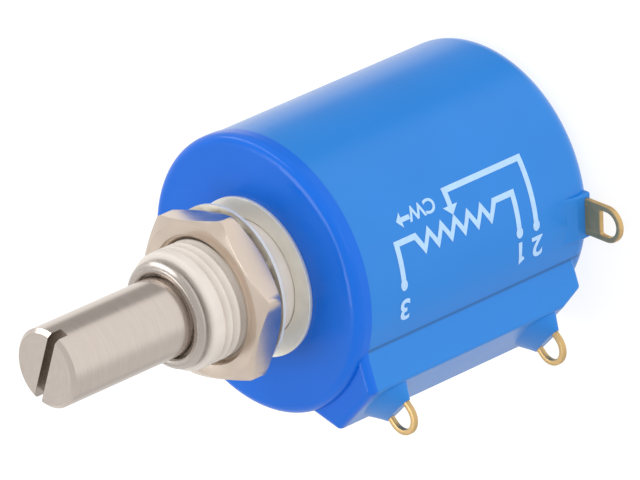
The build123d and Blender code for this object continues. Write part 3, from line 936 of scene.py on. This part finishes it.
def open_ring(sizes):
    """Retaining ring with a sloping rim and a parallel opening, gripped in the shaft's groove."""
    low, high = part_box("retaining_ring")
    radii = [v.co.xy.length for v in frame["nodes"]["retaining_ring"].data.vertices]
    outer, grip = max(radii) - sizes.ring_trim, min(radii)
    mouth = high.z - sizes.ring_mouth
    outline = [
        (SHAFT_RADIUS + sizes.ring_mouth, low.z), (outer, low.z + sizes.ring_dish),
        (outer, high.z - sizes.ring_slope), (outer - sizes.ring_slope, high.z),
        (SHAFT_RADIUS + sizes.ring_mouth, high.z), (SHAFT_RADIUS + RUNNING_GAP, mouth), (grip, mouth),
        (grip, low.z),
    ]
    bm = bmesh.new()
    end = bm.faces.new([bm.verts.new((radius, 0.0, height)) for radius, height in outline])
    half_turn = FULL_TURN / 2
    bmesh.ops.spin(
        bm, geom=[*end.verts, *end.edges, end], cent=(0, 0, 0), axis=(0, 0, 1), angle=half_turn, steps=sizes.steps
    )
    for v in bm.verts:
        share = math.atan2(v.co.y, v.co.x) / half_turn
        radius = v.co.xy.length
        side = math.asin(sizes.ring_gap / 2 / radius)
        v.co = polar(radius, sizes.ring_turn + side + share * (FULL_TURN - 2 * side), v.co.z)
    clean(bm)
    soften(bm, sizes.edge)
    return bm


# Solder lugs
def lug_outline(tip, inner, half, sizes):
    """Outer and inner loops of a lug that points along +X, as two lists of points."""
    centre = tip - half
    eye = half - sizes.rim
    floor = centre - sizes.flat_drop
    outer = [(inner, half), (inner, -half)]
    hole = []
    for step in range(sizes.steps + 1):
        angle = math.pi * (step / sizes.steps - 0.5)
        outer.append((centre + half * math.cos(angle), half * math.sin(angle)))
        hole.append((centre + eye * math.cos(angle), eye * math.sin(angle)))
    quarter = math.pi / 2
    for side, first in ((1.0, quarter), (-1.0, math.pi)):
        for step in range(sizes.corner_steps + 1):
            angle = first + quarter * step / sizes.corner_steps
            hole.append((
                floor + sizes.corner + sizes.corner * math.cos(angle),
                side * (eye - sizes.corner) + sizes.corner * math.sin(angle),
            ))
    return outer, hole


def solder_lug(node, angle, sizes):
    """Stamped lug with an eye and rolled edges, in the place of a solid."""
    low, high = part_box(node)
    spoke = Matrix.Rotation(-angle, 4, "Z")
    reach = [(spoke @ v.co).x for v in frame["nodes"][node].data.vertices]
    half = (LUG_HIGH.y - LUG_LOW.y) / 2
    bm = bmesh.new()
    for loop in lug_outline(max(reach), min(reach), half, sizes):
        points = [bm.verts.new((x, y, low.z)) for x, y in loop]
        for a, b in zip(points, points[1:] + points[:1]):
            bm.edges.new((a, b))
    bmesh.ops.triangle_fill(bm, edges=bm.edges[:], use_beauty=True)
    raised = bmesh.ops.extrude_face_region(bm, geom=bm.faces[:])["geom"]
    bmesh.ops.translate(
        bm, verts=[g for g in raised if isinstance(g, bmesh.types.BMVert)], vec=(0, 0, high.z - low.z)
    )
    clean(bm)
    soften(bm, sizes.edge)
    bmesh.ops.rotate(bm, cent=(0, 0, 0), matrix=Matrix.Rotation(angle, 3, "Z"), verts=bm.verts)
    return bm


# Printed symbol
MITRE_LIMIT = 0.6
FIGURE_WEIGHT = 0.025
FIGURE_ONE = ((-0.36 * MM, 0.48 * MM), (0.0, 0.7 * MM), (0.0, -0.9 * MM))
CUT_FIRST, CUT_LAST, CUT_STEP = -8.0 * MM, 4.0 * MM, 0.3 * MM


def stroke(bm, points, width):
    """Flat printed line through points, with mitred corners."""
    points = [Vector(p) for p in points]
    sides = []
    for index, point in enumerate(points):
        before = (point - points[index - 1]).normalized() if index else None
        after = (points[index + 1] - point).normalized() if index + 1 < len(points) else None
        heading = ((before or after) + (after or before)).normalized()
        normal = Vector((-heading.y, heading.x))
        stretch = abs(normal.dot(Vector((-(after or before).y, (after or before).x))))
        offset = normal * (width / 2 / max(stretch, MITRE_LIMIT))
        sides.append([bm.verts.new((*(point + s * offset), 0.0)) for s in (1, -1)])
    for (a, b), (c, d) in zip(sides, sides[1:]):
        bm.faces.new((a, b, d, c))


def disc(bm, centre, radius, stretch):
    """Flat printed dot, drawn out round the case."""
    shape = Matrix.Translation(centre) @ Matrix.Diagonal((1.0, stretch, 1.0, 1.0))
    bmesh.ops.create_circle(bm, cap_ends=True, segments=20, radius=radius, matrix=shape)


def arrow(bm, points, line, length, width):
    """Flat printed line that ends in an arrow head."""
    tip = Vector(points[-1])
    heading = (tip - Vector(points[-2])).normalized()
    neck = tip - heading * length
    side = Vector((-heading.y, heading.x)) * (width / 2)
    stroke(bm, [*points[:-1], neck], line)
    bm.faces.new([bm.verts.new((*corner, 0.0)) for corner in (tip, neck + side, neck - side)])


def letters(bm, words, centre, size):
    """Flat printed figures, centred on a point."""
    text = bpy.data.curves.new("figures", "FONT")
    text.body = words
    text.size = size
    text.align_x = "CENTER"
    text.align_y = "CENTER"
    text.offset = FIGURE_WEIGHT * size
    text.fill_mode = "FRONT"
    holder = bpy.data.objects.new("figures", text)
    bpy.context.scene.collection.objects.link(holder)
    mesh = bpy.data.meshes.new_from_object(holder.evaluated_get(bpy.context.evaluated_depsgraph_get()))
    mesh.transform(Matrix.Translation((*centre, 0.0)))
    bm.from_mesh(mesh)
    bpy.data.objects.remove(holder)
    bpy.data.curves.remove(text)
    bpy.data.meshes.remove(mesh)


def circuit_symbol(sizes):
    """Resistor with its wiper and terminal numbers, drawn flat and then wrapped round the case.

    In the flat drawing x runs along the shaft and y runs round the case towards the terminal ridge.
    """
    bm = bmesh.new()
    wiper = sizes.rear - sizes.tap
    pitch = (sizes.front - sizes.rear - 2 * sizes.lead) / (2 * sizes.teeth)
    zigzag = [(sizes.front, sizes.dot_row), (sizes.front, sizes.lead_row)]
    for step in range(2 * sizes.teeth + 1):
        row = sizes.tooth_row if step % 2 else sizes.lead_row
        zigzag.append((sizes.front - sizes.lead - step * pitch, row))
    zigzag += [(sizes.rear, sizes.lead_row), (sizes.rear, sizes.dot_row)]
    stroke(bm, zigzag, sizes.line)
    contact = (sizes.front + sizes.rear) / 2
    tap = [
        (wiper, sizes.dot_row), (wiper, sizes.bridge_row), (contact, sizes.bridge_row),
        (contact, sizes.lead_row - sizes.tap_gap),
    ]
    arrow(bm, tap, sizes.line, *sizes.tap_head)
    for x, figure, row in zip((sizes.rear, wiper, sizes.front), "123", sizes.figure_rows):
        disc(bm, (x, sizes.dot_row, sizes.overlap), sizes.dot, sizes.dot_stretch)
        if figure == "1":
            stroke(bm, [(x + aside, row + along) for aside, along in FIGURE_ONE], sizes.thin * sizes.line)
        else:
            letters(bm, figure, (x, row), sizes.digit)
    letters(bm, "CW", (sizes.sign_place, sizes.turn_row - sizes.sign_lift), sizes.sign)
    turn = [(place, sizes.turn_row) for place in sizes.turn_line]
    arrow(bm, turn, sizes.thin * sizes.line, *sizes.turn_head)
    bmesh.ops.remove_doubles(bm, verts=bm.verts, dist=MERGE_DISTANCE)
    cut = CUT_FIRST
    while cut < CUT_LAST:
        bmesh.ops.bisect_plane(
            bm, geom=bm.verts[:] + bm.edges[:] + bm.faces[:], dist=MERGE_DISTANCE, plane_co=(0, cut, 0),
            plane_no=(0, 1, 0),
        )
        cut += CUT_STEP
    for v in bm.verts:
        v.co = polar(CASE_RADIUS + sizes.film + v.co.z, sizes.turn - v.co.y / CASE_RADIUS, v.co.x)
    return bm


# Operators, in the order in which main calls them
class POTENTIOMETER_OT_case(bpy.types.Operator):
    """Give the moulded case and its lid their finish"""

    bl_idname = "potentiometer.case"
    bl_label = "Case and lid"

    def execute(self, context):
        dress(moulded_blue, "housing")
        dress(lid_shaded_blue, "front_lid")
        return {"FINISHED"}


class POTENTIOMETER_OT_print(bpy.types.Operator):
    """Print the circuit symbol and the terminal numbers on the case"""

    bl_idname = "potentiometer.print"
    bl_label = "Printed symbol"

    def execute(self, context):
        store(circuit_symbol(context.scene.pot_print), "circuit_symbol", printed_ink, "case", "blue_moulding")
        return {"FINISHED"}


class POTENTIOMETER_OT_bushing(bpy.types.Operator):
    """Model the threaded bushing"""

    bl_idname = "potentiometer.bushing"
    bl_label = "Threaded bushing"

    def execute(self, context):
        bm = thread_sleeve(context.scene.pot_bushing)
        store(bm, "bushing_thread", moulded_white, "case", "white_plastic", "threaded_bushing")
        return {"FINISHED"}


class POTENTIOMETER_OT_hardware(bpy.types.Operator):
    """Model the nut, the washers and the retaining ring"""

    bl_idname = "potentiometer.hardware"
    bl_label = "Nut and washers"

    def execute(self, context):
        sizes = context.scene.pot_hardware
        store(hex_nut(sizes), "panel_nut", nickel_plate, "case", "nickel_plate", "hex_nut")
        store(
            washer("flat_washer", THREAD_RADIUS + sizes.washer_gap, sizes), "panel_washer", plated_washer, "case",
            "polished_steel", "flat_washer",
        )
        store(loose_washer(sizes), "panel_lock_washer", plated_washer, "case", "polished_steel", "lock_washer")
        store(open_ring(sizes), "shaft_ring", bright_steel, "rotor", "polished_steel", "retaining_ring")
        return {"FINISHED"}


class POTENTIOMETER_OT_shaft(bpy.types.Operator):
    """Give the turned shaft its finish"""

    bl_idname = "potentiometer.shaft"
    bl_label = "Shaft"

    def execute(self, context):
        dress(satin_steel, "shaft")
        return {"FINISHED"}


class POTENTIOMETER_OT_lugs(bpy.types.Operator):
    """Model the three stamped solder lugs"""

    bl_idname = "potentiometer.lugs"
    bl_label = "Solder lugs"

    def execute(self, context):
        for number in (1, 2, 3):
            place = mount(f"terminal_{number}")["pos_m"]
            node = f"terminal_lug_{number}"
            bm = solder_lug(node, math.atan2(place[1], place[0]), context.scene.pot_lugs)
            store(bm, f"solder_lug_{number}", gold_plate, "case", "gold_plate", node)
        return {"FINISHED"}


class POTENTIOMETER_OT_inside(bpy.types.Operator):
    """Give the pieces inside the case their finishes"""

    bl_idname = "potentiometer.inside"
    bl_label = "Inner pieces"

    def execute(self, context):
        dress(wound_wire, "resistance_element")
        dress(gold_plate, "end_lead_1", "end_lead_3")
        dress(dark_moulding, "rotor")
        dress(natural_nylon, "contact_carriage", "thrust_washer")
        dress(contact_alloy, "wiper_contact", "collector_bar", "slip_ring", "collector_brush")
        return {"FINISHED"}


# Stage: each dark side of the tent has a direction, the cosine at which it begins and its share of the shade
DARK_SIDES = (
    ((0.76, -0.17, -0.62), 0.87, 1.0),
    ((-0.72, 0.25, -0.62), 0.72, 0.5),
    ((-0.20, 0.76, -0.62), 0.87, 0.5),
)
DARK_CORE = 0.97
TENT_SPAN = 0.7
CLIP_NEAR, CLIP_FAR = 0.01, 20.0
WHITE = (1.0, 1.0, 1.0)


def view_axes(stage):
    """Right, up and back directions of the camera."""
    back = Vector((
        math.sin(stage.azimuth) * math.cos(stage.elevation),
        -math.cos(stage.azimuth) * math.cos(stage.elevation),
        math.sin(stage.elevation),
    ))
    level = Vector((0, 0, 1)).cross(back).normalized()
    upright = back.cross(level)
    up = upright * math.cos(stage.roll) + level * math.sin(stage.roll)
    return up.cross(back), up, back


def place_camera(stage):
    """Camera at the photograph's viewing angle."""
    right, up, back = view_axes(stage)
    camera = bpy.data.objects.new("camera", bpy.data.cameras.new("camera"))
    bpy.context.scene.collection.objects.link(camera)
    camera.data.lens = stage.lens
    turned = Matrix((right, up, back)).transposed().to_4x4()
    camera.matrix_world = Matrix.Translation(Vector(stage.aim) + back * stage.distance) @ turned
    camera.data.clip_start = stage.distance * CLIP_NEAR
    camera.data.clip_end = stage.distance * CLIP_FAR
    bpy.context.scene.camera = camera


def softbox(name, stage, direction, along, size, power):
    """Oblong area light that faces the object, with its length along a direction."""
    light = bpy.data.lights.new(name, "AREA")
    light.shape = "RECTANGLE"
    light.size, light.size_y = size
    light.energy = power
    holder = bpy.data.objects.new(name, light)
    bpy.context.scene.collection.objects.link(holder)
    away = direction.normalized()
    across = away.cross(along).normalized()
    turned = Matrix((across.cross(away), across, away)).transposed().to_4x4()
    holder.matrix_world = Matrix.Translation(Vector(stage.aim) + away * stage.reach) @ turned
    return holder


def background_ray(tree):
    """One for the rays that see the white background."""
    path = add_node(tree, "ShaderNodeLightPath")
    return add_math(tree, "MAXIMUM", path.outputs["Is Camera Ray"], path.outputs["Is Transmission Ray"])


def studio_world(stage):
    """White background and a soft tent of light with three dark sides."""
    world = bpy.data.worlds.new("studio")
    bpy.context.scene.world = world
    world.use_nodes = True
    tree = world.node_tree
    tree.nodes.clear()
    coords = add_node(tree, "ShaderNodeTexCoord")
    height = add_node(tree, "ShaderNodeSeparateXYZ", {0: coords.outputs["Generated"]})
    level = add_node(
        tree, "ShaderNodeMapRange",
        {
            "Value": height.outputs["Z"], "From Min": -TENT_SPAN, "From Max": TENT_SPAN,
            "To Min": stage.tent_low, "To Max": stage.tent_high,
        },
    )
    strength = level.outputs["Result"]
    for direction, edge, part in DARK_SIDES:
        towards = add_node(
            tree, "ShaderNodeVectorMath",
            {0: coords.outputs["Generated"], 1: Vector(direction).normalized()},
            operation="DOT_PRODUCT",
        )
        dark = add_node(
            tree, "ShaderNodeMapRange",
            {
                "Value": towards.outputs["Value"], "From Min": edge, "From Max": DARK_CORE,
                "To Min": 1.0, "To Max": 1.0 + part * (stage.shade - 1.0),
            },
            interpolation_type="SMOOTHSTEP",
        )
        strength = add_math(tree, "MULTIPLY", strength, dark.outputs["Result"])
    tent = add_node(tree, "ShaderNodeBackground", {"Color": shaded(stage.tent, 1.0), "Strength": strength})
    white = add_node(tree, "ShaderNodeBackground", {"Color": shaded(WHITE, 1.0), "Strength": 1.0})
    mixed = add_node(
        tree, "ShaderNodeMixShader", {0: background_ray(tree), 1: tent.outputs[0], 2: white.outputs[0]}
    )
    add_node(tree, "ShaderNodeOutputWorld", {"Surface": mixed.outputs[0]})


def floor_material(stage):
    """Pale floor that is seen as white and keeps a light shadow."""
    material = bpy.data.materials.new("pale_floor")
    material.use_nodes = True
    tree = material.node_tree
    tree.nodes.clear()
    paper = add_node(tree, "ShaderNodeBsdfDiffuse", {"Color": shaded(WHITE, stage.paper)})
    thin = add_node(tree, "ShaderNodeBsdfDiffuse", {"Color": shaded(WHITE, stage.thin)})
    glow = add_node(tree, "ShaderNodeEmission", {"Color": shaded(WHITE, 1.0), "Strength": stage.glow})
    seen = add_node(tree, "ShaderNodeAddShader", {0: thin.outputs[0], 1: glow.outputs[0]})
    mixed = add_node(
        tree, "ShaderNodeMixShader", {0: background_ray(tree), 1: paper.outputs[0], 2: seen.outputs[0]}
    )
    add_node(tree, "ShaderNodeOutputMaterial", {"Surface": mixed.outputs[0]})
    return material


class POTENTIOMETER_OT_stage(bpy.types.Operator):
    """Lay the floor, set the studio light and place the camera"""

    bl_idname = "potentiometer.stage"
    bl_label = "Stage"

    def execute(self, context):
        stage = context.scene.pot_stage
        bm = bmesh.new()
        bmesh.ops.create_grid(bm, x_segments=4, y_segments=4, size=stage.floor)
        bmesh.ops.translate(bm, verts=bm.verts, vec=(0, 0, -SEAT_GAP))
        mesh = bpy.data.meshes.new("floor")
        bm.to_mesh(mesh)
        bm.free()
        mesh.materials.append(floor_material(stage))
        floor = bpy.data.objects.new("floor", mesh)
        context.scene.collection.objects.link(floor)
        floor.visible_diffuse = False
        floor.visible_glossy = False
        floor.visible_shadow = False
        right, up, back = view_axes(stage)
        softbox("rim", stage, Vector(stage.rim_from), Vector(stage.rim_along), stage.rim_size, stage.rim)
        softbox("top", stage, Vector(stage.top_from), right, stage.top_size, stage.top)
        beside = Matrix((right, up, back)).transposed() @ Vector(stage.side_from)
        side = softbox("side", stage, beside, up, stage.side_size, stage.side)
        side.visible_glossy = False
        studio_world(stage)
        place_camera(stage)
        context.scene.view_settings.view_transform = "Standard"
        return {"FINISHED"}


OPERATORS = (
    POTENTIOMETER_OT_case,
    POTENTIOMETER_OT_print,
    POTENTIOMETER_OT_bushing,
    POTENTIOMETER_OT_hardware,
    POTENTIOMETER_OT_shaft,
    POTENTIOMETER_OT_lugs,
    POTENTIOMETER_OT_inside,
    POTENTIOMETER_OT_stage,
)


class POTENTIOMETER_PT_sidebar(bpy.types.Panel):
    """Sidebar panel that lists the pieces"""

    bl_idname = "POTENTIOMETER_PT_sidebar"
    bl_label = "Potentiometer"
    bl_space_type = "VIEW_3D"
    bl_region_type = "UI"
    bl_category = "Potentiometer"

    def draw(self, context):
        for operator in OPERATORS:
            self.layout.operator(operator.bl_idname)


def register():
    for name, group in GROUPS.items():
        bpy.utils.register_class(group)
        setattr(bpy.types.Scene, name, PointerProperty(type=group))
    for operator in OPERATORS:
        bpy.utils.register_class(operator)
    bpy.utils.register_class(POTENTIOMETER_PT_sidebar)


def unregister():
    bpy.utils.unregister_class(POTENTIOMETER_PT_sidebar)
    for operator in reversed(OPERATORS):
        bpy.utils.unregister_class(operator)
    for name, group in reversed(GROUPS.items()):
        delattr(bpy.types.Scene, name)
        bpy.utils.unregister_class(group)


def main():
    register()
    bpy.ops.potentiometer.case()
    bpy.ops.potentiometer.print()
    bpy.ops.potentiometer.bushing()
    bpy.ops.potentiometer.hardware()
    bpy.ops.potentiometer.shaft()
    bpy.ops.potentiometer.lugs()
    bpy.ops.potentiometer.inside()
    bpy.ops.potentiometer.stage()


if __name__ == "__main__":
    main()
